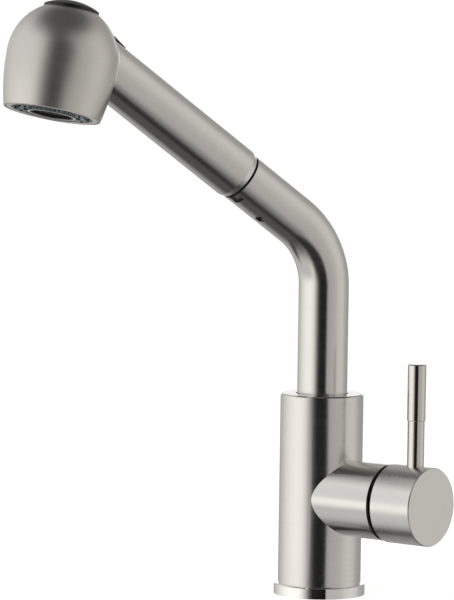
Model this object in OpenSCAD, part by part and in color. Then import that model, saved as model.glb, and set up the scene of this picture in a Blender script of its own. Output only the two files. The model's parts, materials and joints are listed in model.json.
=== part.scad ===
// Pull-down kitchen faucet: upright body, side lever, swivel spout and a spray wand on a hose.
// Origin: centre of the base on the deck, +Z up, +X along the handle's axis.

/* [Body] */
// outside diameter of the upright body
body_d = 50; // [42:0.5:62]
// height of the body's flat top above the deck
body_height = 121.4; // [105:0.1:150]
// outside diameter of the foot ring
foot_d = 55; // [50:0.5:70]
// height of the foot ring
foot_height = 6.6; // [3:0.1:9]
// thickness of the body's top wall
body_roof = 4; // [3:0.5:6]
// outside diameter of the threaded shank under the deck
shank_d = 32; // [28:0.5:34]
// length of the shank below the deck
shank_length = 45; // [30:1:60]
// wall of the shank
shank_wall = 2.2; // [1.5:0.1:3]

/* [Spout] */
// outside diameter of the spout tube
spout_d = 30.2; // [24:0.1:34]
// wall of the spout tube
spout_wall = 1.3; // [1:0.1:2]
// height at which the upright and the arm's centre lines meet
bend_height = 211.1; // [190:0.1:260]
// slope of the arm above the horizontal
arm_slope = 35.35; // [25:0.05:50]
// radius of the bend's centre line
bend_radius = 48; // [40:1:60]
// direction of the spout about the upright, from the handle's axis
spout_turn = -113.2; // [-180:0.1:180]
// distance along the arm from the bend's corner to the parting seam
seam_along = 71.1; // [60:0.1:90]
// width of the parting seam
seam_width = 1.6; // [0.8:0.1:2]
// turn of the locking screw and the key about the arm
dock_turn = 17; // [-30:1:30]
// distance from the seam back to the locking screw's hole
screw_back = 23.3; // [18:0.1:28]
// wall of the sleeve inside the arm that the wand docks in
dock_wall = 2.3; // [1.5:0.1:3]

/* [Wand] */
// outside diameter of the wand's tube
wand_d = 32.2; // [26:0.1:36]
// wall of the wand's tube
wand_wall = 1.4; // [1:0.1:2]
// length of the chamfer at the wand's open end
wand_chamfer = 3.3; // [2:0.1:5]
// distance along the arm from the bend's corner to the head's centre
head_along = 208.4; // [180:0.1:240]
// drop of the head's centre below the arm's centre line
head_drop = 12; // [6:0.5:14]
// angle between the wand and the head's own axis
head_tilt = 67.9; // [60:0.1:75]

// turn of the wand in its dock
wand_twist = 4.5; // [-6:0.5:6]

/* [Spray head] */
// diameter of the head's dome
head_d = 64.8; // [56:0.2:72]
// depth of the skirt below the dome's centre
skirt_depth = 33; // [26:0.5:40]
// diameter of the skirt's lower rim
rim_d = 56.6; // [50:0.2:64]
// wall of the head
head_wall = 2; // [1.5:0.1:3]
// outside diameter of the ring round the spray face
face_ring_d = 53.6; // [48:0.2:60]
// inside diameter of that ring
face_ring_bore = 47.6; // [42:0.2:52]
// depth of the spray plate inside the ring
plate_recess = 3; // [1:0.1:5]
// diameter of the raised aerator ring
aerator_d = 28.4; // [22:0.2:34]
// how far the aerator ring stands out of the rim
aerator_proud = 0.65; // [0.2:0.05:2]
// diameter of the aerator's screen
screen_d = 23; // [16:0.2:25]
// spray holes in the outer row
outer_sprays = 26; // [18:1:32]
// spray holes in the inner row
inner_sprays = 20; // [14:1:24]

/* [Buttons] */
// diameter of the crown button
crown_d = 32.4; // [26:0.2:36]
// how far the crown button stands out of the dome
crown_proud = 1.4; // [0.6:0.1:2.5]
// length of the rear button along the wand
rear_length = 10.6; // [6:0.2:13]
// width of the rear button
rear_width = 10; // [7:0.5:14]
// how far the rear button stands out of the wand
rear_proud = 1.7; // [0.8:0.1:2.5]
// travel of both buttons
button_travel = 1; // [0.5:0.1:1.5]

/* [Handle] */
// height of the handle's axis above the deck
handle_height = 59.5; // [50:0.1:75]
// diameter of the side housing
housing_d = 45.6; // [42:0.2:56]
// distance from the upright's axis to the housing's end
housing_reach = 50.8; // [46:0.1:60]
// gap between the housing and the cap
cap_gap = 3.4; // [2:0.1:5]
// diameter of the cap
cap_d = 46.9; // [44:0.1:58]
// distance from the upright's axis to the cap's flat face
cap_reach = 82; // [74:0.1:92]
// wall of the cap
cap_wall = 1.6; // [1.2:0.1:2]
// distance from the upright's axis to the tilting pin
pivot_reach = 40.2; // [37:0.1:42]
// furthest tilt of the lever
lever_lift = 20; // [12:1:22]
// distance from the upright's axis to the lever
lever_reach = 69.9; // [66:0.1:76]
// diameter of the lever's lower rod
rod_d = 10.1; // [8:0.1:12]
// diameter of the lever's grip
grip_d = 11; // [9:0.1:14]
// height of the grip's foot above the handle's axis
grip_foot = 50.6; // [40:0.1:60]
// height of the lever's top above the handle's axis
lever_top = 84.2; // [70:0.1:100]

/* [Cartridge] */
// outside diameter of the valve cartridge
cartridge_d = 34.8; // [34:0.1:40]
// distance from the upright's axis to the cartridge's seat
seat_reach = 18; // [16:0.5:20]
// thickness of each ceramic disc
disc_thickness = 4; // [3:0.1:4.5]
// diameter of the stem
stem_d = 8; // [6:0.1:9]
// diameter of the tilting pin
pin_d = 3; // [2.5:0.1:4]

/* [Hose] */
// outside diameter of the hose
hose_d = 12; // [9:0.1:14]
// bore of the hose
hose_bore = 7.6; // [5:0.1:9]

/* [Fits] */
// radial clearance of a running fit
running_fit = 0.05; // [0.02:0.01:0.1]
// radial clearance where parts are only set in
loose_fit = 0.3; // [0.2:0.05:0.5]

/* [Hidden] */
body_r = body_d / 2;
foot_r = foot_d / 2;
shank_r = shank_d / 2;
shank_bore_r = shank_r - shank_wall;
shank_neck_r = shank_r - 0.6;
spout_r = spout_d / 2;
spout_bore_r = spout_r - spout_wall;
wand_r = wand_d / 2;
wand_bore_r = wand_r - wand_wall;
head_r = head_d / 2;
rim_r = rim_d / 2;
housing_r = housing_d / 2;
cap_r = cap_d / 2;
cap_bore_r = cap_r - cap_wall;
cap_foot = housing_reach + cap_gap;
cartridge_r = cartridge_d / 2;
hose_r = hose_d / 2;
stem_r = stem_d / 2;
pin_r = pin_d / 2;
crown_r = crown_d / 2;
aerator_r = aerator_d / 2;
screen_r = screen_d / 2;

// the bend, from where the upright leaves off to where the arm starts
bend_angle = 90 - arm_slope;
bend_tangent = bend_radius * tan(bend_angle / 2);
bend_start = bend_height - bend_tangent;
// the bend is a hair thinner than the straight lengths, so that its ends are true edges
bend_step = 0.05;
// and the straight lengths reach a little way over it
bend_lap = 0.4;

// the upright body's inside
chest_r = body_r - 2.4;
hose_way_r = hose_r + 2.5;
belly_top = 34;
belly_floor = foot_height + 7;
swivel_floor = 85;
swivel_r = spout_r + 4.9;
collar_top = 89.6;
spout_foot = 86;
groove_low = 94;
groove_high = 106;
groove_width = 2.6;
seal_floor = body_height - body_roof + 0.6;
port_r = 3.2;
port_in = seat_reach - 4.5;
port_side = 9;
port_low = handle_height - 4;
port_high = handle_height + 8.5;

// the handle's inside
chamber_r = housing_r - 2.4;
case_top = pivot_reach - 2.4;
disc_floor = seat_reach + 4;
carrier_floor = disc_floor + 2 * disc_thickness;
carrier_top = carrier_floor + 4.5;
ball_drop = 6.3;
ball_r = 2.6;
spindle_foot = carrier_top + 0.3;
spindle_top = pivot_reach + 2.8;
case_bore_r = cartridge_r - 2.2;
disc_r = case_bore_r - 3.4;
bonnet_r = housing_r - 4.4;
hub_r = 8;
hub_foot = cap_reach - 20;
cap_face = 3;
stem_top = cap_reach - 8;
boss_r = 7.5;
rod_foot = cap_bore_r - 4;

// the dock inside the arm
dock_foot = seam_along - 30;
nose_r = spout_bore_r - dock_wall - 2 * running_fit;
nose_foot = seam_along - 15;
nose_top = seam_along + 9;
waterway_r = 9;
waterway_foot = seam_along + 20;
waterway_top = head_along - 13;
hose_top = waterway_foot + 12;
hose_break = bend_tangent + 4;
wand_foot = seam_along + seam_width;

// the head's skirt is one large arc that leaves the dome's equator upright
skirt_swell = head_r - rim_r;
skirt_arc = (skirt_depth * skirt_depth + skirt_swell * skirt_swell) / (2 * skirt_swell);
skirt_steps = 16;
plate_face = plate_recess - skirt_depth;
plate_back = plate_face + 2;
block_foot = plate_back + 6;
block_top = 8;
spool_r = 5;
spool_foot = block_foot + 2;
crown_foot = head_r - head_wall - 2.4;

smooth = 96;
inner = 48;

// ---- shared shapes ----

// a ring from one height to another
module ring(outer, bore, from, to, sides = smooth)
    translate([0, 0, from])
        rotate_extrude($fn = sides)
            translate([bore, 0]) square([outer - bore, to - from]);

// a plain round rod from one height to another
module rod(radius, from, to, sides = inner)
    translate([0, 0, from]) cylinder(r = radius, h = to - from, $fn = sides);

// local Z becomes the handle's axis, local -X points up
module on_handle() translate([0, 0, handle_height]) rotate([0, 90, 0]) children();

// local X becomes the way the spout points
module in_spout() rotate([0, 0, spout_turn]) children();

// local Z runs along the arm from the bend's corner, local X is its underside
module on_arm() in_spout() translate([0, 0, bend_height]) rotate([0, bend_angle, 0]) children();

// the same line, turned to where the locking screw and the key are
module on_dock() on_arm() rotate([0, 0, dock_turn]) children();

// the same line, turned with the wand
module on_wand() on_arm() rotate([0, 0, wand_twist]) children();

// from the wand's line to the head's own axis, through the dome's centre
module head_place() translate([head_drop, 0, head_along]) rotate([0, -head_tilt, 0]) children();

// local Z is the head's own axis
module in_head() on_wand() head_place() children();

// the bend of a pipe that leaves the origin upwards and turns towards X
module bend(outer, bore)
    translate([bend_radius, 0, 0]) rotate([90, 0, 0]) rotate([0, 0, 180 - bend_angle])
        rotate_extrude(angle = bend_angle, $fn = 2 * smooth)
            translate([bend_radius, 0]) difference() {
                circle(r = outer - bend_step, $fn = smooth);
                circle(r = bore + bend_step, $fn = smooth);
            }

// radius of the skirt at a depth below the dome's centre
function skirt_radius(depth) = head_r - skirt_arc + sqrt(skirt_arc * skirt_arc - depth * depth);

// the head's outline turned solid, grown by a distance and cut off below a depth
module head_solid(grow, depth) union() {
    intersection() {
        sphere(r = head_r + grow, $fn = 2 * smooth);
        translate([0, 0, head_r]) cube([3 * head_r, 3 * head_r, 2 * head_r], center = true);
    }
    rotate_extrude($fn = smooth) polygon(concat([[0, 0]], [for (i = [0 : skirt_steps])
        [skirt_radius(depth * i / skirt_steps) + grow, -depth * i / skirt_steps]], [[0, -depth]]));
}

// ---- body ----

module base_ring() color("#C9C9C7") difference() {
    rotate_extrude($fn = smooth) polygon([
        [shank_neck_r + running_fit, 0], [foot_r, 0], [foot_r, foot_height - 0.4],
        [foot_r - 0.4, foot_height], [shank_neck_r + running_fit, foot_height]]);
    rod(foot_r - 4, -1, 1.6, smooth);
}

module base_gasket() color("#1C1C1C") ring(foot_r - 4.3, shank_neck_r + 0.5, 0, 1.6);

module mounting_shank() color("#B59A5A") {
    ring(shank_r, shank_bore_r, -shank_length, 0);
    ring(shank_neck_r, shank_bore_r, 0, belly_floor);
    ring(shank_r + 3, shank_bore_r, belly_floor, belly_floor + 3);
}

module body_shell() color("#AAA9A6") difference() {
    union() {
        rotate_extrude($fn = smooth) polygon([
            [0, foot_height], [body_r, foot_height], [body_r, body_height - 0.8],
            [body_r - 0.8, body_height], [0, body_height]]);
        on_handle() rod(housing_r, 0, housing_reach, smooth);
    }
    rod(shank_neck_r + running_fit, 0, belly_floor + 1, smooth);
    rod(chest_r, belly_floor, belly_top, smooth);
    rod(hose_way_r, belly_floor, swivel_floor + 1);
    rod(swivel_r, swivel_floor, body_height - body_roof, smooth);
    rod(spout_r + 0.7, swivel_floor, body_height + 1, smooth);
    rod(spout_r + 2.6, body_height - body_roof - 1, seal_floor + 1.8, smooth);
    on_handle() rod(chamber_r, seat_reach, housing_reach + 1, smooth);
    for (side = [-1, 1]) {
        translate([port_in, side * port_side, 0]) rod(port_r, belly_top - 1, port_low);
        translate([port_in, side * port_side, port_low]) rotate([0, 90, 0]) rod(port_r, 0, 6);
    }
    translate([port_in, 0, 0]) rod(port_r, belly_top - 1, port_high);
    translate([port_in, 0, port_high]) rotate([0, 90, 0]) rod(port_r, 0, 6);
}

module supply_inlets() color("#B59A5A")
    for (side = [-1, 0, 1]) translate([port_in, side * port_side, 0]) {
        ring(port_r - running_fit, 2, belly_top - 6, belly_top + 8, inner);
        ring(port_r + 0.9, 2, belly_top - 12, belly_top - 6, inner);
    }

module swivel_sleeve() color("#D8D5CC") difference() {
    ring(swivel_r - running_fit, spout_r + running_fit, collar_top + 0.1, body_height - body_roof - 0.1);
    for (z = [groove_low, groove_high]) ring(spout_r + 2.2, 0, z, z + groove_width);
}

module spout_seals() color("#1C1C1C")
    for (z = [groove_low, groove_high])
        ring(spout_r + 2.1, spout_r + running_fit, z + 0.2, z + groove_width - 0.2);

module top_seal() color("#1C1C1C")
    ring(spout_r + 2.5, spout_r + running_fit, seal_floor, seal_floor + 1.7);

// ---- cartridge, from the seat outwards ----

module port_seals() color("#1C1C1C") on_handle() difference() {
    ring(cartridge_r - 1, 0, seat_reach, seat_reach + 1.4);
    for (side = [-1, 1]) translate([4, side * port_side, 0]) rod(port_r, 0, seat_reach + 2);
    translate([-8.5, 0, 0]) rod(port_r, 0, seat_reach + 2);
}

module cartridge_case() color("#E4E1DA") on_handle() difference() {
    ring(cartridge_r, 0, seat_reach + 1.4, case_top);
    rod(case_bore_r, disc_floor, case_top + 1, smooth);
    for (side = [-1, 1]) translate([4, side * port_side, 0]) rod(port_r, 0, disc_floor + 1);
    translate([-8.5, 0, 0]) rod(port_r, 0, disc_floor + 1);
}

module ceramic_disc_fixed() color("#F1F0EC") on_handle() difference() {
    ring(case_bore_r - running_fit, 0, disc_floor, disc_floor + disc_thickness);
    for (side = [-1, 1]) translate([4, side * 5.5, 0]) rod(2.6, 0, disc_floor + disc_thickness + 1);
    translate([-6.5, 0, 0]) rod(2.6, 0, disc_floor + disc_thickness + 1);
}

module ceramic_disc_moving() color("#F1F0EC") on_handle() difference() {
    rod(disc_r, disc_floor + disc_thickness + 0.02, carrier_floor, smooth);
    rod(3.2, 0, disc_floor + disc_thickness + 1.6);
}

module disc_carrier() color("#3A3F46") on_handle() difference() {
    rod(disc_r, carrier_floor, carrier_top, smooth);
    rod(ball_r + loose_fit, carrier_floor + 0.8, carrier_top + 1);
}

module spindle() color("#3A3F46") on_handle() difference() {
    union() {
        rod(case_bore_r - running_fit, spindle_foot, spindle_foot + 2.2, smooth);
        rod(case_bore_r - 2.2, spindle_foot + 2.2, spindle_top, smooth);
    }
    translate([-7, -stem_r - running_fit, spindle_foot - 1])
        cube([14, 2 * stem_r + 2 * running_fit, spindle_top - spindle_foot + 2]);
    translate([0, 0, pivot_reach]) rotate([90, 0, 0]) rod(pin_r, -case_bore_r, case_bore_r);
}

module spindle_pin() color("#8C8C8A") on_handle()
    translate([0, 0, pivot_reach]) rotate([90, 0, 0]) rod(pin_r, 2.8 - case_bore_r, case_bore_r - 2.8);

module cartridge_nut() color("#77767A") on_handle() difference() {
    union() {
        ring(chamber_r - running_fit, case_bore_r, case_top, case_top + 2);
        ring(chamber_r - running_fit, bonnet_r + loose_fit, case_top + 2, housing_reach + 1.6);
    }
    for (z = [housing_reach + 0.1 : 0.7 : housing_reach + 1.3])
        ring(chamber_r + 1, chamber_r - 0.4, z, z + 0.3);
}

module bonnet() color("#8E8D8B") on_handle() difference() {
    translate([0, 0, pivot_reach]) difference() {
        sphere(r = bonnet_r, $fn = smooth);
        sphere(r = bonnet_r - 1.4, $fn = smooth);
    }
    rod(body_r, 0, case_top + 2, smooth);
    rod(bonnet_r - 6.9, 0, cap_reach, smooth);
}

// ---- handle ----

module handle_stem() color("#A5A4A0") on_handle() difference() {
    union() {
        translate([0, 0, pivot_reach - ball_drop]) sphere(r = ball_r, $fn = inner);
        rod(ball_r - 0.6, pivot_reach - ball_drop, pivot_reach - 3);
        rod(stem_r, pivot_reach - 3.4, stem_top);
    }
    translate([0, 0, pivot_reach]) rotate([90, 0, 0]) rod(pin_r + running_fit, -body_r, body_r);
}

module handle_cap() color("#AAA9A6") on_handle() difference() {
    union() {
        difference() {
            rotate_extrude($fn = smooth) polygon([
                [0, cap_foot], [cap_r, cap_foot], [cap_r, cap_reach - 0.5],
                [cap_r - 0.5, cap_reach], [0, cap_reach]]);
            rod(cap_bore_r, cap_foot - 1, cap_reach - cap_face, smooth);
        }
        rod(hub_r, hub_foot, cap_reach - 1);
        intersection() {
            translate([0, 0, lever_reach]) rotate([0, -90, 0]) rod(boss_r, rod_foot - 3, cap_r, smooth);
            rod(cap_r - 0.5, cap_foot, cap_reach - 1, smooth);
        }
    }
    rod(stem_r + running_fit, cap_foot - 1, stem_top + 0.5);
    translate([0, 0, lever_reach]) rotate([0, -90, 0]) rod(rod_d / 2 + running_fit, rod_foot, cap_r + 2, smooth);
    translate([0, 0, lever_reach]) rotate([0, 90, 0]) rod(2 + running_fit, stem_r, cap_r + 2);
}

module handle_grub_screw() color("#5A5A5C") on_handle() translate([0, 0, lever_reach]) rotate([0, 90, 0])
    difference() {
        rod(2, stem_r + running_fit, hub_r);
        translate([0, 0, hub_r - 1.6]) cylinder(r = 1.1, h = 3, $fn = 6);
    }

module lever_rod() color("#D2D1CE") on_handle() translate([0, 0, lever_reach]) rotate([0, -90, 0])
    rod(rod_d / 2, rod_foot, grip_foot, smooth);

module lever_grip() color("#D2D1CE") on_handle() translate([0, 0, lever_reach]) rotate([0, -90, 0])
    rotate_extrude($fn = smooth) polygon([
        [0, grip_foot], [grip_d / 2 - 0.3, grip_foot], [grip_d / 2, grip_foot + 0.3],
        [grip_d / 2, lever_top - 0.6], [grip_d / 2 - 0.6, lever_top], [0, lever_top]]);

// ---- spout ----

module spout_tube() color("#AFAEAB") difference() {
    union() {
        ring(spout_r, spout_bore_r, spout_foot, bend_start + bend_lap);
        in_spout() translate([0, 0, bend_start]) bend(spout_r, spout_bore_r);
        on_arm() ring(spout_r, spout_bore_r, bend_tangent - bend_lap, seam_along);
    }
    on_dock() {
        translate([0, 0, seam_along - screw_back]) rotate([0, 90, 0]) rod(2.6, spout_bore_r - 2, spout_r + 2);
        translate([spout_bore_r - 2, -2, seam_along - 5.5]) cube([6, 4, 7]);
        translate([spout_bore_r - 2, -2, seam_along - 5.5]) cube([6, 7, 2.4]);
    }
}

module spout_collar() color("#B59A5A") ring(swivel_r - 0.5, spout_r, spout_foot, collar_top);

module dock_sleeve() color("#34373A") on_arm() difference() {
    ring(spout_bore_r - running_fit, nose_r + running_fit, dock_foot, seam_along);
    rotate([0, 0, dock_turn]) translate([0, 0, seam_along - screw_back]) rotate([0, 90, 0]) rod(2.05, nose_r - 1, spout_r + 2);
}

module dock_gasket() color("#141414") on_arm()
    ring(spout_r - 1, nose_r + running_fit + 0.4, seam_along, seam_along + seam_width);

module dock_screw() color("#4A4A4C") on_dock() translate([0, 0, seam_along - screw_back]) rotate([0, 90, 0])
    difference() {
        rod(2, nose_r + 0.3, spout_bore_r + 0.2);
        translate([0, 0, spout_bore_r - 1.2]) cylinder(r = 1.1, h = 3, $fn = 6);
    }

module dock_key() color("#141414") on_dock() intersection() {
    union() {
        translate([spout_bore_r - 2, -1.7, seam_along - 5.2]) cube([6, 3.4, 5.2]);
        translate([spout_bore_r - 2, -1.7, seam_along - 5.2]) cube([6, 6.4, 1.8]);
    }
    ring(spout_r - 0.4, spout_bore_r, seam_along - 6, seam_along);
}

module hose_lower() color("#6F7275") ring(hose_r, hose_bore / 2, -shank_length, spout_foot - 0.5, inner);

module hose_in_spout() color("#6F7275") {
    ring(hose_r, hose_bore / 2, spout_foot, bend_start + bend_lap, inner);
    in_spout() translate([0, 0, bend_start]) bend(hose_r, hose_bore / 2);
    on_arm() ring(hose_r, hose_bore / 2, bend_tangent - bend_lap, hose_break, inner);
}

// ---- wand ----

module wand_tube() color("#AFAEAB") difference() {
    on_arm() rotate_extrude($fn = smooth) polygon([
        [wand_bore_r, wand_foot], [wand_r - 1, wand_foot], [wand_r, wand_foot + wand_chamfer],
        [wand_r, head_along], [wand_bore_r, head_along]]);
    in_head() head_solid(1, skirt_depth);
    on_wand() translate([-wand_r - 3, -rear_width / 2 - loose_fit, rear_foot - loose_fit])
        cube([8, rear_width + 2 * loose_fit, rear_length + 4]);
}

module joint_ring() color("#C4C3C0") difference() {
    on_arm() ring(wand_r + 0.35, wand_bore_r - 0.8, head_along - 48, head_along);
    in_head() head_solid(0, skirt_depth);
    difference() {
        on_arm() rod(body_d, head_along - 60, head_along + 1);
        in_head() head_solid(0.95, skirt_depth);
    }
}

module wand_nose() color("#34373A") on_arm() {
    ring(nose_r, hose_r + 1.6, nose_foot, wand_foot + 0.6);
    ring(wand_bore_r - running_fit, hose_r + 1.6, wand_foot + 0.6, nose_top);
}

module wand_waterway() color("#34373A") on_arm() difference() {
    union() {
        ring(waterway_r, hose_bore / 2, waterway_foot, waterway_top);
        ring(wand_bore_r - running_fit, waterway_r, waterway_foot + 14, waterway_foot + 20);
    }
    rod(hose_r + 1 + running_fit, waterway_foot - 1, hose_top);
    rod(6, hose_top + 8, hose_top + 26);
}

module hose_ferrule() color("#B59A5A") on_arm() ring(hose_r + 1, hose_r, waterway_foot - 6, hose_top);

module hose_upper() color("#6F7275") on_arm() ring(hose_r, hose_bore / 2, hose_break + 0.4, hose_top - 0.5, inner);

module check_valve() color("#E4E1DA") on_arm() difference() {
    rod(6 - running_fit, hose_top + 8.5, hose_top + 20);
    for (turn = [0 : 60 : 359]) rotate([0, 0, turn]) translate([3.6, 0, 0]) rod(1.1, hose_top, hose_top + 24);
}

// distance along the arm to the rear button's foot, from where the wand's top meets the dome
rear_end = head_along - sqrt((head_r + 1) * (head_r + 1) - (wand_r + head_drop) * (wand_r + head_drop));
rear_foot = rear_end - rear_length;

module rear_button() color("#141414") on_wand() difference() {
    intersection() {
        translate([0, 0, rear_foot]) cylinder(r1 = wand_r + 0.5, r2 = wand_r + rear_proud, h = rear_length, $fn = smooth);
        translate([-wand_r - 3, -rear_width / 2, rear_foot]) cube([7, rear_width, rear_length]);
    }
    for (pressed = [0, button_travel]) translate([-pressed, 0, 0]) head_place() head_solid(1.4, skirt_depth);
}

// ---- head ----

module head_shell() color("#AFAEAB") difference() {
    in_head() difference() {
        head_solid(0, skirt_depth);
        head_solid(-head_wall, skirt_depth + 1);
        rod(face_ring_d / 2 + 0.25, -skirt_depth - 1, plate_back, smooth);
        rod(crown_r + loose_fit, 0, head_r + 5, smooth);
    }
    on_arm() rod(waterway_r + loose_fit, head_along - 48, head_along);
}

module face_ring() color("#B9BAB9") in_head() ring(face_ring_d / 2, face_ring_bore / 2, -skirt_depth + 0.2, plate_back);

module spray_plate() color("#56616B") in_head() difference() {
    ring(face_ring_bore / 2 - 0.05, screen_r + 1.2, plate_face, plate_back);
    for (i = [0 : outer_sprays - 1]) rotate([0, 0, i * 360 / outer_sprays])
        translate([face_ring_bore / 2 - 2.4, 0, 0]) rod(0.8, plate_face - 1, plate_back + 1, 16);
    for (i = [0 : inner_sprays - 1]) rotate([0, 0, i * 360 / inner_sprays])
        translate([face_ring_bore / 2 - 6, 0, 0]) rod(0.8, plate_face - 1, plate_back + 1, 16);
}

module spray_nozzles() color("#47525C") in_head() {
    for (i = [0 : outer_sprays - 1]) rotate([0, 0, i * 360 / outer_sprays])
        translate([face_ring_bore / 2 - 2.4, 0, 0]) ring(0.75, 0.35, plate_face - 0.7, plate_back, 16);
    for (i = [0 : inner_sprays - 1]) rotate([0, 0, i * 360 / inner_sprays])
        translate([face_ring_bore / 2 - 6, 0, 0]) ring(0.75, 0.35, plate_face - 0.7, plate_back, 16);
}

module aerator_ring() color("#C9C9C7") in_head() difference() {
    ring(aerator_r, screen_r + 1.2, -skirt_depth - aerator_proud, plate_face);
    for (i = [0 : 11]) rotate([0, 0, i * 30])
        translate([aerator_r - 0.9, -1.1, plate_face - 2.2]) cube([2, 2.2, 1.4]);
}

module aerator_seal() color("#1C1C1C") in_head()
    ring(screen_r + 1.15, screen_r, -skirt_depth - aerator_proud + 0.4, plate_back);

module aerator_screen() color("#8E8D8B") in_head() translate([0, 0, -skirt_depth - aerator_proud + 2.2])
    linear_extrude(0.8) difference() {
        circle(r = screen_r - 0.05, $fn = smooth);
        for (x = [-5 : 5], y = [-5 : 5]) if (norm([x, y]) * 2 < screen_r - 0.9)
            translate([2 * x, 2 * y]) square(1.3, center = true);
    }

module valve_block() color("#34373A") difference() {
    in_head() union() {
        intersection() {
            ring(face_ring_bore / 2 - 0.5, 0, plate_back, block_foot);
            head_solid(-head_wall - 0.3, skirt_depth);
        }
        rod(18, block_foot, block_top, smooth);
    }
    on_arm() rod(waterway_r + running_fit, head_along - 48, waterway_top);
    on_arm() rod(hose_bore / 2, waterway_top - 1, head_along - 3);
    in_head() rod(spool_r + running_fit, spool_foot - 2, head_r);
    in_head() rod(screen_r - 1, plate_back - 1, plate_back + 4, smooth);
    in_head() rod(2.5, plate_back + 3, spool_foot);
    in_head() rotate([0, 0, 60]) translate([12, 0, 0]) rod(2, plate_back + 3, spool_foot + 4);
}

module crown_button() color("#141414") in_head() intersection() {
    rod(crown_r, 0, head_r + 5, smooth);
    difference() {
        sphere(r = head_r + crown_proud, $fn = 2 * smooth);
        sphere(r = crown_foot, $fn = 2 * smooth);
    }
}

module diverter_spool() color("#B59A5A") in_head() difference() {
    union() {
        rod(spool_r, spool_foot, block_top + 4);
        rod(3, block_top + 4, crown_foot + 0.2);
    }
    difference() {
        rod(head_r, crown_foot - 6, head_r + 2);
        sphere(r = crown_foot, $fn = 2 * smooth);
    }
    ring(spool_r + 1, spool_r - 1.6, spool_foot + 4, spool_foot + 9);
}

// ---- parts ----

base_ring();
base_gasket();
mounting_shank();
body_shell();
supply_inlets();
swivel_sleeve();
spout_seals();
top_seal();
port_seals();
cartridge_case();
ceramic_disc_fixed();
cartridge_nut();
bonnet();
hose_lower();
disc_carrier();
ceramic_disc_moving();
spindle();
spindle_pin();
handle_stem();
handle_cap();
handle_grub_screw();
lever_rod();
lever_grip();
spout_tube();
spout_collar();
dock_sleeve();
dock_gasket();
dock_screw();
dock_key();
hose_in_spout();
wand_tube();
wand_nose();
wand_waterway();
hose_ferrule();
hose_upper();
check_valve();
head_shell();
joint_ring();
face_ring();
spray_plate();
spray_nozzles();
aerator_ring();
aerator_seal();
aerator_screen();
valve_block();
crown_button();
diverter_spool();
rear_button();
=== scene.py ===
# %% [markdown]
# # A pull-down kitchen faucet
# The shapes come from a CAD model, loaded first. This lesson gives them their finishes, adds what CAD
# left out, such as the hose that stretches and the shank's thread, and lights it all in a studio.
# Everything is in metres, +Z up, with the foot's centre on the counter at the origin.

# %% Load the CAD model
import json
import math

import bmesh
import bpy
from mathutils import Matrix, Vector


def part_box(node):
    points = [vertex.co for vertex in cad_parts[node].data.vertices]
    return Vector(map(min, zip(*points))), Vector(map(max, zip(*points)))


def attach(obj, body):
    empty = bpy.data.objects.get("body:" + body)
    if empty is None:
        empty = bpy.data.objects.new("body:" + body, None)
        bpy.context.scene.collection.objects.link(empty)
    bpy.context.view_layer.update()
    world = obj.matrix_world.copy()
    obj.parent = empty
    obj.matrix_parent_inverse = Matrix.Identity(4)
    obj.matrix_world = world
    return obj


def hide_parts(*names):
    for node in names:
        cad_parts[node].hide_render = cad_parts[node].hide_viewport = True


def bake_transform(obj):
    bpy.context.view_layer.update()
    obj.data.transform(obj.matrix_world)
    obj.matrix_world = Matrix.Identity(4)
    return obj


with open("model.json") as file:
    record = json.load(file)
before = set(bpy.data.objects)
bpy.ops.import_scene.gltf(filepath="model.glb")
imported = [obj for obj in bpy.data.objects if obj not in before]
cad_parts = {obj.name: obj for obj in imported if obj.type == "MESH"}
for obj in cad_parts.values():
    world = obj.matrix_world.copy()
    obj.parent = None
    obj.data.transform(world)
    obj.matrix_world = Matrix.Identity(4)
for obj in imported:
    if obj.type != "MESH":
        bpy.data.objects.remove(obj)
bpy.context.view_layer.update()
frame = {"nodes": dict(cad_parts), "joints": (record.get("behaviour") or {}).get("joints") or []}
nodes, joints = frame["nodes"], {j["name"]: j for j in frame["joints"]}
MM = 0.001


# %% [markdown]
# ## Where the faucet points
# The wand slides along the arm, so the slide joint's axis is the arm's direction, and the crown button's
# joint gives the spray head's own axis. Reading them from the joints keeps the finishes lined up with
# the metal when a size changes.

# %% Directions taken from the joints
ARM = Vector(joints["wand_pull"]["axis"]).normalized()
HEAD_UP = Vector(joints["crown_rise"]["axis"]).normalized()
SPOUT_OUT = Vector((ARM.x, ARM.y, 0)).normalized()
HANDLE = Vector(joints["handle_turn"]["axis"]).normalized()
UP = Vector((0, 0, 1))


def centre(node):
    """The middle of a node's box."""
    low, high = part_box(node)
    return (Vector(low) + Vector(high)) / 2


print("arm", tuple(round(v, 3) for v in ARM), "head", tuple(round(v, 3) for v in HEAD_UP))

# %% [markdown]
# ## The camera
# A long lens from well back keeps the upright's sides nearly parallel, as in a catalogue. The camera
# stands a little above the head's height and looks slightly down.

# %% Place the camera
VIEW_PLACE = Vector((1.4399, -1.9164, 0.3647))
VIEW_TURN, VIEW_DIP, VIEW_ROLL = math.radians(38.307), math.radians(4.486), math.radians(0.808)
camera_data = bpy.data.cameras.new("camera")
camera_data.lens, camera_data.sensor_width = 240, 36
camera_data.clip_end = 300
camera = bpy.data.objects.new("camera", camera_data)
turned = Matrix.Rotation(VIEW_TURN, 4, "Z") @ Matrix.Rotation(-VIEW_DIP, 4, "X")
turned = turned @ Matrix.Rotation(-VIEW_ROLL, 4, "Y") @ Matrix.Rotation(math.pi / 2, 4, "X")
camera.matrix_world = Matrix.Translation(VIEW_PLACE) @ turned
bpy.context.scene.collection.objects.link(camera)
bpy.context.scene.camera = camera
bpy.context.scene.view_settings.view_transform = "Standard"
print("camera", camera_data.lens, "mm lens,", round(VIEW_PLACE.length, 2), "m away")


# %% [markdown]
# ## Helpers for materials
# Colours are written as the sRGB hex values that a colour picker shows, and one function turns them
# into the linear light that shaders work in. Another adds a node, sets it and links it. Three short ones
# start a material, set a ramp's stops and put a material on CAD nodes.

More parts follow.
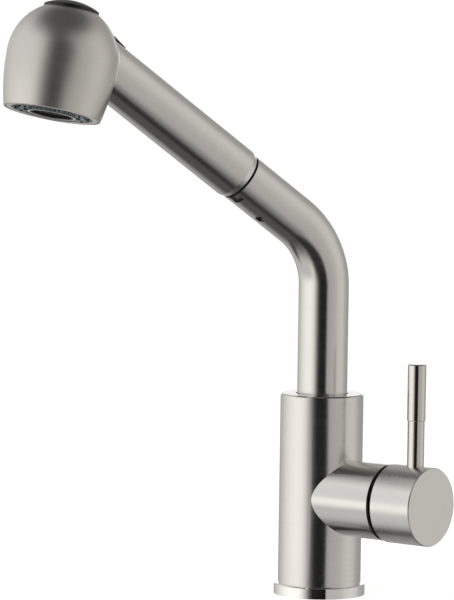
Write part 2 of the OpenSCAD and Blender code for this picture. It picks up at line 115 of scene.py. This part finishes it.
# %% Colour and node helpers
def linear(code, alpha=1.0):
    """An sRGB hex colour as linear RGBA."""
    parts = [int(code[i:i + 2], 16) / 255 for i in (1, 3, 5)]
    return tuple(c / 12.92 if c <= 0.04045 else ((c + 0.055) / 1.055) ** 2.4 for c in parts) + (alpha,)


def add_node(tree, kind, settings=(), inputs=(), links=()):
    """Adds a node with its settings and input values, and links it: {input: (node, output)}."""
    made = tree.nodes.new(kind)
    for name, value in dict(settings).items():
        setattr(made, name, value)
    for name, value in dict(inputs).items():
        made.inputs[name].default_value = value
    for name, (source, output) in dict(links).items():
        tree.links.new(source.outputs[output], made.inputs[name])
    return made


def new_material(name):
    """An empty node material with its output, and that output."""
    material = bpy.data.materials.new(name)
    material.use_nodes = True
    material.node_tree.nodes.clear()
    return material, material.node_tree, material.node_tree.nodes.new("ShaderNodeOutputMaterial")


def ramp_stops(node, stops):
    """Sets a colour ramp's stops from (place, colour) pairs."""
    ramp = node.color_ramp
    while len(ramp.elements) > 1:
        ramp.elements.remove(ramp.elements[-1])
    ramp.elements[0].position, ramp.elements[0].color = stops[0]
    for place, colour in stops[1:]:
        ramp.elements.new(place).color = colour


def wear(material, *names):
    """Puts a material in every material slot that CAD nodes have. Their meshes stay as they came."""
    for name in names:
        for slot in nodes[name].material_slots:
            slot.material = material


print("helpers ready")


# %% [markdown]
# ## The studio
# Polished metal shows the room and little else. Catalogue metal is lit by two large soft boxes, with
# black cards that draw dark bands down each pipe. Here the room is a world shader: one ramp goes round
# the horizon, and another goes from straight down to straight up. A large soft box of its own adds the
# key light and the soft shadow.

# %% The room that the metal reflects
# brightness by compass direction in degrees, anticlockwise from +X
ROUND_THE_ROOM = [
    (-180, 0.74), (-160, 0.98), (-140, 1.14), (-122, 1.22), (-106, 1.14), (-96, 0.88), (-87, 0.50),
    (-78, 0.13), (-70, 0.02), (-37, 0.008), (-34.5, 0.50), (-10, 0.52), (5, 0.56), (18, 0.66),
    (35, 0.72), (54, 0.66), (72, 0.46), (100, 0.38), (140, 0.42), (160, 0.55), (180, 0.74)]
# brightness by height in degrees, where the ramp above doesn't reach
DOWN_TO_UP = [
    (-90, 0.13), (-82, 0.10), (-72, 0.09), (-60, 0.20), (-44, 0.34), (-32, 0.42),
    (38, 0.34), (50, 0.08), (70, 0.06), (90, 0.10)]
# how much of the second ramp shows at each height
BLEND_BY_HEIGHT = [(-90, 1), (-46, 1), (-30, 0), (34, 0), (54, 1), (90, 1)]
# a white wall behind the faucet, just above the counter
WALL_ROUND = [(-180, 0), (98, 0), (108, 1), (148, 1), (158, 0), (180, 0)]
WALL_UP = [(-90, 0), (-0.5, 0), (1.0, 1), (10, 1), (15, 0), (90, 0)]
# a dark card that carries the dark band of the upright round the bend and under the arm
LINK_ROUND = [(-180, 0), (-90, 0), (-78, 1), (-42, 1), (-32, 0), (180, 0)]
LINK_UP = [(-90, 0), (-84, 0), (-72, 1), (-22, 1), (-12, 0), (90, 0)]
# a dark card low behind the faucet
BACK_ROUND = [(-180, 1), (-168, 1), (-155, 0), (166, 0), (175, 1), (180, 1)]
BACK_UP = [(-90, 0), (-74, 0), (-62, 1), (-42, 1), (-28, 0), (90, 0)]
# a dark card above on the right, which the spray head shows as its band
HEAD_ROUND = [(-180, 0), (-52, 0), (-45, 1), (-26, 1), (-18, 0), (180, 0)]
HEAD_UP_TO = [(-90, 0), (-1, 0), (5, 1), (32, 1), (42, 0), (90, 0)]
# the soft box dims above the counter's height, and again below it
DIM_ROUND = [(-180, 1), (-170, 1), (-108, 1), (-98, 0), (160, 0), (180, 1)]
DIM_UP = [(-90, 0), (-1, 0), (5, 0.9), (20, 1), (32, 0.8), (45, 0.45), (58, 0.15), (70, 0), (90, 0)]
LOW_UP = [(-90, 0), (-58, 0), (-44, 0.8), (-22, 1), (-10, 0), (90, 0)]
# the patches with their brightness, laid over the room in this order
PATCHES = [(DIM_ROUND, DIM_UP, 0.82), (DIM_ROUND, LOW_UP, 0.62), (LINK_ROUND, LINK_UP, 0.03),
           (BACK_ROUND, BACK_UP, 0.06), (HEAD_ROUND, HEAD_UP_TO, 0.06), (WALL_ROUND, WALL_UP, 1.15)]
WARM = (1.0, 0.975, 0.945)

world = bpy.data.worlds.new("studio")
bpy.context.scene.world = world
world.use_nodes = True
room = world.node_tree
room.nodes.clear()
way = add_node(room, "ShaderNodeTexCoord")
split = add_node(room, "ShaderNodeSeparateXYZ", links={"Vector": (way, "Generated")})
compass = add_node(room, "ShaderNodeMath", {"operation": "ARCTAN2"},
                   links={0: (split, "Y"), 1: (split, "X")})
compass_part = add_node(room, "ShaderNodeMapRange", inputs={"From Min": -math.pi, "From Max": math.pi},
                        links={"Value": (compass, 0)})
height = add_node(room, "ShaderNodeMath", {"operation": "ARCSINE"}, links={0: (split, "Z")})
height_part = add_node(room, "ShaderNodeMapRange",
                       inputs={"From Min": -math.pi / 2, "From Max": math.pi / 2},
                       links={"Value": (height, 0)})


def grey_ramp(part, stops, low, high, tint=(1, 1, 1)):
    """A ramp of greys, given in degrees from low to high."""
    ramp = add_node(room, "ShaderNodeValToRGB", links={"Fac": (part, "Result")})
    ramp_stops(ramp, [((d - low) / (high - low), (v * tint[0], v * tint[1], v * tint[2], 1))
                      for d, v in stops])
    return ramp


around = grey_ramp(compass_part, ROUND_THE_ROOM, -180, 180, WARM)
upward = grey_ramp(height_part, DOWN_TO_UP, -90, 90)
blend = grey_ramp(height_part, BLEND_BY_HEIGHT, -90, 90)


def mix_colours(factor, low, high):
    """Mixes two colours by a factor, each a node's output or a plain value."""
    made = add_node(room, "ShaderNodeMix", {"data_type": "RGBA"})
    fac, a_in, b_in = made.inputs[0], made.inputs[6], made.inputs[7]
    for source, socket in ((factor, fac), (low, a_in), (high, b_in)):
        if isinstance(source, tuple):
            socket.default_value = source
        else:
            room.links.new(source, socket)
    return made.outputs[2]


def patch(round_stops, up_stops):
    """A mask of one patch of the room, by direction and height."""
    made = add_node(room, "ShaderNodeMath", {"operation": "MULTIPLY"})
    for place, stops, part, ends in ((0, round_stops, compass_part, (-180, 180)),
                                     (1, up_stops, height_part, (-90, 90))):
        room.links.new(grey_ramp(part, stops, *ends).outputs["Color"], made.inputs[place])
    return made.outputs[0]


room_colour = mix_colours(blend.outputs["Color"], around.outputs["Color"], upward.outputs["Color"])
for round_stops, up_stops, grey in PATCHES:
    room_colour = mix_colours(patch(round_stops, up_stops), room_colour, (grey, grey, grey, 1))
seen_room = add_node(room, "ShaderNodeBackground", inputs={"Strength": 1.0})
room.links.new(room_colour, seen_room.inputs["Color"])
backdrop = add_node(room, "ShaderNodeBackground", inputs={"Color": (1, 1, 1, 1), "Strength": 1.0})
path = add_node(room, "ShaderNodeLightPath")
either = add_node(room, "ShaderNodeMixShader", links={0: (path, "Is Camera Ray"), 1: (seen_room, 0),
                                                      2: (backdrop, 0)})
add_node(room, "ShaderNodeOutputWorld", links={"Surface": (either, 0)})
print("room ramps:", len(ROUND_THE_ROOM), "stops round,", len(DOWN_TO_UP), "up")

# %% The key light and the floor
key_data = bpy.data.lights.new("key_box", "AREA")
key_data.energy, key_data.size, key_data.color = 9, 0.9, (1, 0.98, 0.95)
key = bpy.data.objects.new("key_box", key_data)
key.location = (-0.5, -1.5, 1.5)
key.rotation_euler = (Vector((0, 0, 0.15)) - key.location).to_track_quat("-Z", "Y").to_euler()
key.visible_glossy = False
bpy.context.scene.collection.objects.link(key)

FLOOR_REACH = 150
floor_corners = [(FLOOR_REACH * x, FLOOR_REACH * y, 0) for x, y in ((-1, -1), (1, -1), (1, 1), (-1, 1))]
floor_mesh = bpy.data.meshes.new("floor")
floor_mesh.from_pydata(floor_corners, [], [(0, 1, 2, 3)])
floor = bpy.data.objects.new("floor", floor_mesh)
bpy.context.scene.collection.objects.link(floor)
pale, tree, out = new_material("pale_floor_paint")
floor_shader = add_node(tree, "ShaderNodeBsdfPrincipled", inputs={
    "Base Color": linear("#F6F6F5"), "Roughness": 0.6, "Emission Color": (1, 1, 1, 1),
    "Emission Strength": 0.72})
tree.links.new(floor_shader.outputs[0], out.inputs["Surface"])
floor_mesh.materials.append(pale)
floor.visible_glossy = False
# the floor hides what is under it from the eye, and these keep out of the reflections too
for name in ("base_gasket", "hose_lower", "supply_inlets"):
    nodes[name].visible_glossy = False
print("key light and floor placed")


# %% [markdown]
# ## Brushed stainless steel
# The body, spout, wand, head and cap are stainless steel tube, ground with a fine belt while they turn,
# so hair-thin scratches run round each piece. They stretch every reflection along the piece's axis and
# soften it. Each piece has its own axis, so the scratches are a noise squeezed along that axis. Real
# scratches are under 0.1 mm wide, which is too fine to show, so they are drawn about 0.5 mm apart.

# %% Make the brushed steel for one axis
def spun(tree, axis):
    """Object coordinates turned so that Z runs along an axis, for patterns that go round it."""
    place = add_node(tree, "ShaderNodeTexCoord")
    turn = Vector(axis).to_track_quat("Z", "Y").to_matrix().inverted().to_euler()
    mapping = add_node(tree, "ShaderNodeMapping", {"vector_type": "POINT"},
                       links={"Vector": (place, "Object")})
    mapping.inputs["Rotation"].default_value = turn
    return mapping


SCRATCH_GAP = 0.5 * MM
SCRATCH_RUN = 45 * MM
# longer than the cap is wide, so that its flat face stays even
CAP_SCRATCH_RUN = 600 * MM
# a broad cloudiness is added to the gloss, with this size and this share
CLOUD_SIZE, CLOUD_SHARE = 25 * MM, 0.35


def brushed_steel(name, axis, roughness=0.19, tone="#E3E1DD", depth=0.03,
                  run=SCRATCH_RUN):
    """Stainless steel ground round an axis: depth is how deep the scratches look, and run their length."""
    material, tree, out = new_material(name)
    coords = spun(tree, axis)
    squeeze = add_node(tree, "ShaderNodeMapping", {"vector_type": "POINT"},
                       {"Scale": (1 / run, 1 / run, 1 / SCRATCH_GAP)},
                       {"Vector": (coords, "Vector")})
    lines = add_node(tree, "ShaderNodeTexNoise", inputs={"Scale": 1.0, "Detail": 4.0, "Roughness": 0.65},
                     links={"Vector": (squeeze, "Vector")})
    cloud = add_node(tree, "ShaderNodeTexNoise", inputs={"Scale": 1 / CLOUD_SIZE, "Detail": 2.0},
                     links={"Vector": (coords, "Vector")})
    both = add_node(tree, "ShaderNodeMath", {"operation": "MULTIPLY_ADD"},
                    {1: CLOUD_SHARE}, {0: (cloud, 0), 2: (lines, 0)})
    gloss = add_node(tree, "ShaderNodeMapRange",
                     inputs={"From Min": 0.4, "From Max": 1.0, "To Min": roughness - 0.05,
                             "To Max": roughness + 0.07}, links={"Value": (both, 0)})
    shade = add_node(tree, "ShaderNodeValToRGB", links={"Fac": (lines, 0)})
    base = linear(tone)
    ramp_stops(shade, [(0.3, tuple(c * 0.94 for c in base[:3]) + (1,)), (0.7, base)])
    bump = add_node(tree, "ShaderNodeBump", inputs={"Strength": depth, "Distance": 0.02 * MM},
                    links={"Height": (lines, 0)})
    steel = add_node(tree, "ShaderNodeBsdfPrincipled", inputs={"Metallic": 1.0},
                     links={"Base Color": (shade, "Color"), "Roughness": (gloss, "Result"),
                            "Normal": (bump, "Normal")})
    tree.links.new(steel.outputs[0], out.inputs["Surface"])
    return material


upright_steel = brushed_steel("brushed_stainless_upright", UP)
arm_steel = brushed_steel("brushed_stainless_arm", ARM)
head_steel = brushed_steel("brushed_stainless_head", HEAD_UP, 0.37, "#E0DDD8")
cap_steel = brushed_steel("brushed_stainless_handle", HANDLE, 0.27, "#E9E7E3", 0.008,
                          CAP_SCRATCH_RUN)
wear(upright_steel, "body_shell", "spout_tube")
wear(arm_steel, "wand_tube")
wear(head_steel, "head_shell")
wear(cap_steel, "handle_cap")
print("brushed steel on 5 nodes")


# %% [markdown]
# ## Chrome plate and turned metals
# The foot ring is chrome plated over brass, and so are the rings where the wand meets the head, round the
# spray face and round the aerator. They are buffed until they mirror. The lever is buffed stainless
# steel, a little softer. A trace of waviness in the bump keeps them from looking drawn. Hidden fittings
# are turned brass, blackened steel and plain steel, which keep rings of fine tool marks.

# %% Chrome, brass and plain steel
MARK_GAP, MARK_RUN = 0.5 * MM, 50 * MM


def turned_metal(name, tone, roughness, marks, axis=UP):
    """A metal with tool marks round its axis: marks is how deep they look."""
    material, tree, out = new_material(name)
    coords = spun(tree, axis)
    squeeze = add_node(tree, "ShaderNodeMapping", inputs={
        "Scale": (1 / MARK_RUN, 1 / MARK_RUN, 1 / MARK_GAP)},
                       links={"Vector": (coords, "Vector")})
    rings = add_node(tree, "ShaderNodeTexNoise", inputs={"Scale": 1.0, "Detail": 2.0},
                     links={"Vector": (squeeze, "Vector")})
    gloss = add_node(tree, "ShaderNodeMapRange", inputs={"To Min": roughness * 0.8,
                                                         "To Max": roughness * 1.2},
                     links={"Value": (rings, 0)})
    bump = add_node(tree, "ShaderNodeBump", inputs={"Strength": marks, "Distance": 0.02 * MM},
                    links={"Height": (rings, 0)})
    metal = add_node(tree, "ShaderNodeBsdfPrincipled",
                     inputs={"Base Color": linear(tone), "Metallic": 1.0},
                     links={"Roughness": (gloss, "Result"), "Normal": (bump, "Normal")})
    tree.links.new(metal.outputs[0], out.inputs["Surface"])
    return material


chrome = turned_metal("chrome_plated_brass", "#EFEEEC", 0.04, 0.02)
lever_chrome = turned_metal("buffed_stainless_lever", "#DAD8D3", 0.09, 0.04)
brass = turned_metal("turned_brass", "#C8A86A", 0.28, 0.2)
dark_steel = turned_metal("blackened_steel_thread", "#5B5A58", 0.35, 0.25, HANDLE)
plain_steel = turned_metal("turned_steel", "#9A9996", 0.3, 0.2, HANDLE)
wear(chrome, "base_ring", "aerator_ring", "face_ring", "joint_ring")
wear(lever_chrome, "lever_rod", "lever_grip")
wear(brass, "mounting_shank", "supply_inlets", "spout_collar", "hose_ferrule", "diverter_spool")
wear(dark_steel, "cartridge_nut", "dock_screw", "handle_grub_screw")
wear(plain_steel, "bonnet", "spindle_pin", "handle_stem", "aerator_screen")
print("turned and plated metals done")


# %% [markdown]
# ## Plastics, rubber and ceramic
# Moulded parts take the mould's fine spark-eroded grain, which breaks up their gloss. It is drawn 0.3 to
# 0.6 mm across, coarser than the real one. Rubber has the same kind of grain and little gloss. The
# valve's ceramic discs are lapped alumina, nearly white.

# %% Moulded and fired materials
def moulded(name, tone, roughness, grain_mm, depth, specular=0.5):
    """A moulded material with a fine grain."""
    material, tree, out = new_material(name)
    place = add_node(tree, "ShaderNodeTexCoord")
    grain = add_node(tree, "ShaderNodeTexNoise", inputs={"Scale": 1 / (grain_mm * MM), "Detail": 3.0},
                     links={"Vector": (place, "Object")})
    gloss = add_node(tree, "ShaderNodeMapRange", inputs={"To Min": roughness - 0.06,
                                                         "To Max": roughness + 0.08},
                     links={"Value": (grain, 0)})
    tint = linear(tone)
    shade = add_node(tree, "ShaderNodeValToRGB", links={"Fac": (grain, 0)})
    ramp_stops(shade, [(0.3, tuple(c * 0.85 for c in tint[:3]) + (1,)), (0.7, tint)])
    bump = add_node(tree, "ShaderNodeBump", inputs={"Strength": depth, "Distance": 0.05 * MM},
                    links={"Height": (grain, 0)})
    body = add_node(tree, "ShaderNodeBsdfPrincipled", inputs={"Specular IOR Level": specular},
                    links={"Base Color": (shade, "Color"), "Roughness": (gloss, "Result"),
                           "Normal": (bump, "Normal")})
    tree.links.new(body.outputs[0], out.inputs["Surface"])
    return material


black_abs = moulded("moulded_abs_black", "#151715", 0.38, 0.5, 0.12)
slate_abs = moulded("moulded_abs_slate", "#59646C", 0.42, 0.5, 0.12)
nozzle_rubber = moulded("silicone_nozzles", "#434B51", 0.55, 0.4, 0.1)
seal_rubber = moulded("nitrile_rubber_black", "#161616", 0.6, 0.5, 0.2, 0.35)
acetal = moulded("acetal_natural", "#DDD9CF", 0.4, 0.6, 0.08)
alumina = moulded("lapped_alumina", "#F0EEE8", 0.25, 0.3, 0.03)
wear(black_abs, "crown_button", "rear_button", "dock_key", "dock_sleeve", "wand_nose",
     "wand_waterway", "valve_block", "spindle", "disc_carrier")
wear(slate_abs, "spray_plate")
wear(nozzle_rubber, "spray_nozzles")
wear(seal_rubber, "base_gasket", "spout_seals", "top_seal", "port_seals", "dock_gasket", "aerator_seal")
wear(acetal, "swivel_sleeve", "cartridge_case", "check_valve")
wear(alumina, "ceramic_disc_fixed", "ceramic_disc_moving")
print("moulded materials done")

# %% [markdown]
# ## The braided hose
# The real hose is nylon braid over rubber, whose strands cross it both ways. Here two sets of slanted
# waves, one each way, are multiplied. Their angle is taken round a line through the origin, which isn't
# the hose's own, so in the arm both sets run almost straight round the hose. They show as soft rings
# rather than as crossed strands. The pattern is worked out from where the surface is, so it keeps its
# size when the hose is drawn out.

# %% Braid material
RING_GAP, WAVES_ROUND = 6.4 * MM, 12.0
braid, tree, out = new_material("nylon_braid_grey")
coords = spun(tree, ARM)
axes = add_node(tree, "ShaderNodeSeparateXYZ", links={"Vector": (coords, "Vector")})
turned_by = add_node(tree, "ShaderNodeMath", {"operation": "ARCTAN2"},
                     links={0: (axes, "Y"), 1: (axes, "X")})
waves = []
for slant in (1, -1):
    along = add_node(tree, "ShaderNodeMath", {"operation": "MULTIPLY"},
                     {1: slant * math.pi / RING_GAP}, {0: (axes, "Z")})
    phase = add_node(tree, "ShaderNodeMath", {"operation": "MULTIPLY_ADD"}, {1: WAVES_ROUND},
                     {0: (turned_by, 0), 2: (along, 0)})
    waves.append(add_node(tree, "ShaderNodeMath", {"operation": "SINE"}, links={0: (phase, 0)}))
crossing = add_node(tree, "ShaderNodeMath", {"operation": "MULTIPLY"},
                    links={0: (waves[0], 0), 1: (waves[1], 0)})
braid_tone = add_node(tree, "ShaderNodeMapRange", inputs={"From Min": -1.0}, links={"Value": (crossing, 0)})
braid_ramp = add_node(tree, "ShaderNodeValToRGB", links={"Fac": (braid_tone, "Result")})
ramp_stops(braid_ramp, [(0.25, linear("#3B3D40")), (0.75, linear("#8B8E92"))])
braid_bump = add_node(tree, "ShaderNodeBump", inputs={"Strength": 0.5, "Distance": 0.3 * MM},
                      links={"Height": (crossing, 0)})
nylon = add_node(tree, "ShaderNodeBsdfPrincipled", inputs={"Roughness": 0.5, "Sheen Weight": 0.2},
                 links={"Base Color": (braid_ramp, "Color"), "Normal": (braid_bump, "Normal")})
tree.links.new(nylon.outputs[0], out.inputs["Surface"])
wear(braid, "hose_lower", "hose_in_spout", "hose_upper")
print("rings on the hose in the arm:", round(RING_GAP / MM, 2), "mm apart")

# %% [markdown]
# ## The hose that draws out
# One real hose runs from the shank up through the spout to the wand. CAD holds it as rigid lengths, so
# this piece stands for the two upper ones: rings swept along the same route, close together inside the
# arm.

# %% The hose's route
BEND_RADIUS = 48 * MM
HOSE_RADIUS = 6 * MM
HOSE_SIDES = 32
# how far the hose goes into the wand past the seam
INTO_WAND = 33 * MM
UP_RINGS, BEND_RINGS, ARM_RINGS = 6, 16, 60
seam = centre("dock_gasket")
corner = seam - ARM * (math.hypot(seam.x, seam.y) / math.hypot(ARM.x, ARM.y))
bend_angle = UP.angle(ARM)
tangent = BEND_RADIUS * math.tan(bend_angle / 2)
hose_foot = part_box("hose_in_spout")[0][2]
arm_reach = (seam - corner).length
hose_tip = arm_reach + INTO_WAND


def hose_point(kind, amount):
    """A point of the route and its direction: up the upright, round the bend or along the arm."""
    if kind == "up":
        return Vector((0, 0, amount)), UP
    if kind == "bend":
        lean = SPOUT_OUT * (BEND_RADIUS * (1 - math.cos(amount)))
        rise = UP * (corner.z - tangent + BEND_RADIUS * math.sin(amount))
        return lean + rise, UP * math.cos(amount) + SPOUT_OUT * math.sin(amount)
    return corner + ARM * amount, ARM


route = [hose_point("up", hose_foot + (corner.z - tangent - hose_foot) * i / UP_RINGS)
         for i in range(UP_RINGS)]
route += [hose_point("bend", bend_angle * i / BEND_RINGS) for i in range(BEND_RINGS)]
route += [hose_point("arm", tangent + (hose_tip - tangent) * i / ARM_RINGS) for i in range(ARM_RINGS + 1)]


def sweep(name, points, radius, sides, material):
    """A closed round tube along points, each with its direction."""
    mesh, made = bpy.data.meshes.new(name), bmesh.new()
    sideways = UP.cross(ARM).normalized()
    rings = []
    for place, along in points:
        out_by = along.cross(sideways).normalized()
        rings.append([made.verts.new(place + sideways * (radius * math.cos(math.tau * k / sides))
                                     + out_by * (radius * math.sin(math.tau * k / sides)))
                      for k in range(sides)])
    for low, high in zip(rings, rings[1:]):
        for k in range(sides):
            made.faces.new((low[k], low[(k + 1) % sides], high[(k + 1) % sides], high[k]))
    made.faces.new(rings[0])
    made.faces.new(rings[-1])
    bmesh.ops.recalc_face_normals(made, faces=made.faces)
    made.to_mesh(mesh)
    made.free()
    mesh.shade_smooth()
    mesh.materials.append(material)
    piece = bpy.data.objects.new(name, mesh)
    bpy.context.scene.collection.objects.link(piece)
    return piece


hose = sweep("braided_hose", route, HOSE_RADIUS, HOSE_SIDES, braid)
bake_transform(hose)
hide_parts("hose_in_spout", "hose_upper")
print("hose route:", len(route), "rings")

# %% [markdown]
# ## The threaded shank
# The nut below the counter runs on a rolled thread. CAD holds the shank as a plain pin, because that is
# what a hole fits. Here the same shank is one closed mesh whose thread is cut inwards from that pin's
# radius, 1.5 mm a turn, so its crests still measure what the pin does.

# %% Turn the shank and cut its thread
THREAD_PITCH = 1.5 * MM
THREAD_DEPTH = 0.5 * MM
THREAD_STEP = 0.25 * MM
SHANK_SIDES = 64
CREST, NECK, BORE, FLANGE = 16 * MM, 15.4 * MM, 13.8 * MM, 19 * MM
FLANGE_THICKNESS = 3 * MM
# lengths left plain at the shank's foot and under the counter
PLAIN_FOOT, PLAIN_TOP = 1 * MM, 3 * MM
SHARP_FROM = math.radians(28)
shank_low, shank_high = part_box("mounting_shank")
thread_foot, thread_top = shank_low.z + PLAIN_FOOT, -PLAIN_TOP


def thread_radius(z, angle):
    """The shank's radius at a height and angle: the crest, less the groove where the thread is cut."""
    turn = (z / THREAD_PITCH + angle / math.tau) % 1
    fade = min(max((z - thread_foot) / THREAD_PITCH, 0), 1) * min(max((thread_top - z) / THREAD_PITCH, 0), 1)
    return CREST - THREAD_DEPTH * abs(2 * turn - 1) * fade


cut_rows = round(-shank_low.z / THREAD_STEP)
profile = [(None, shank_low.z + i * -shank_low.z / cut_rows) for i in range(cut_rows)] + [
    (CREST, 0), (NECK, 0), (NECK, shank_high.z - FLANGE_THICKNESS),
    (FLANGE, shank_high.z - FLANGE_THICKNESS), (FLANGE, shank_high.z), (BORE, shank_high.z),
    (BORE, shank_low.z)]
shank_mesh, made = bpy.data.meshes.new("threaded_shank"), bmesh.new()
rows = []
for radius, z in profile:
    row = []
    for k in range(SHANK_SIDES):
        angle = math.tau * k / SHANK_SIDES
        r = thread_radius(z, angle) if radius is None else radius
        row.append(made.verts.new((r * math.cos(angle), r * math.sin(angle), z)))
    rows.append(row)
for low, high in zip(rows, rows[1:] + rows[:1]):
    for k in range(SHANK_SIDES):
        made.faces.new((low[k], low[(k + 1) % SHANK_SIDES], high[(k + 1) % SHANK_SIDES], high[k]))
bmesh.ops.recalc_face_normals(made, faces=made.faces)
made.to_mesh(shank_mesh)
made.free()
shank_mesh.shade_smooth()
shank_mesh.set_sharp_from_angle(angle=SHARP_FROM)
shank_mesh.materials.append(brass)
threaded_shank = bpy.data.objects.new("threaded_shank", shank_mesh)
bpy.context.scene.collection.objects.link(threaded_shank)
threaded_shank.visible_glossy = False
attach(threaded_shank, "valve_body")
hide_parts("mounting_shank")
widest = max(math.hypot(v.co.x, v.co.y) for v in shank_mesh.vertices if v.co.z < -0.1 * MM)
print("thread turns:", round((thread_top - thread_foot) / THREAD_PITCH), "widest radius below the deck:",
      round(widest / MM, 3), "mm")

# %% [markdown]
# ## The aerator's gauze
# Water leaves through woven stainless gauze. Real gauze has a wire every 0.4 mm, too fine to show, so
# here it is every 1.2 mm. Each wire waves up and down between the ones it crosses. Where two cross they
# are near one height and run into each other, while real wires pass over and under.

# %% Weave the gauze
WIRE_GAP = 1.2 * MM
WIRE_RADIUS = 0.17 * MM
# how far the gauze stays inside the screen's edge, and lies below its middle
EDGE_GAP, DROP = 0.5 * MM, 0.62 * MM
screen_low, screen_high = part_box("aerator_screen")
GAUZE_RADIUS = (screen_high.x - screen_low.x) / 2 - EDGE_GAP
GAUZE_ROWS = int(GAUZE_RADIUS / WIRE_GAP)
screen_middle = centre("aerator_screen") - HEAD_UP * DROP
first = HEAD_UP.orthogonal().normalized()
second = HEAD_UP.cross(first)


def gauze_wire(made, offset, along, across, flip):
    """One wavy wire across the round, as a four-sided tube."""
    half = math.sqrt(max(GAUZE_RADIUS ** 2 - offset ** 2, 0))
    count = max(int(2 * half / WIRE_GAP * 2), 2)
    rings = []
    for i in range(count + 1):
        run = -half + 2 * half * i / count
        wave = flip * WIRE_RADIUS * math.sin(math.pi * run / WIRE_GAP)
        place = screen_middle + along * run + across * offset + HEAD_UP * wave
        rings.append([made.verts.new(place + (across * x + HEAD_UP * y) * WIRE_RADIUS)
                      for x, y in ((1, 0), (0, 1), (-1, 0), (0, -1))])
    for low, high in zip(rings, rings[1:]):
        for k in range(4):
            made.faces.new((low[k], low[(k + 1) % 4], high[(k + 1) % 4], high[k]))
    made.faces.new(rings[0])
    made.faces.new(rings[-1])


gauze_mesh, made = bpy.data.meshes.new("aerator_gauze"), bmesh.new()
for step in range(-GAUZE_ROWS, GAUZE_ROWS + 1):
    gauze_wire(made, step * WIRE_GAP, first, second, 1 if step % 2 else -1)
    gauze_wire(made, step * WIRE_GAP, second, first, -1 if step % 2 else 1)
bmesh.ops.recalc_face_normals(made, faces=made.faces)
made.to_mesh(gauze_mesh)
made.free()
gauze_mesh.shade_smooth()
gauze_mesh.materials.append(plain_steel)
gauze = bpy.data.objects.new("aerator_gauze", gauze_mesh)
bpy.context.scene.collection.objects.link(gauze)
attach(gauze, "wand")
print("gauze faces:", len(gauze_mesh.polygons))
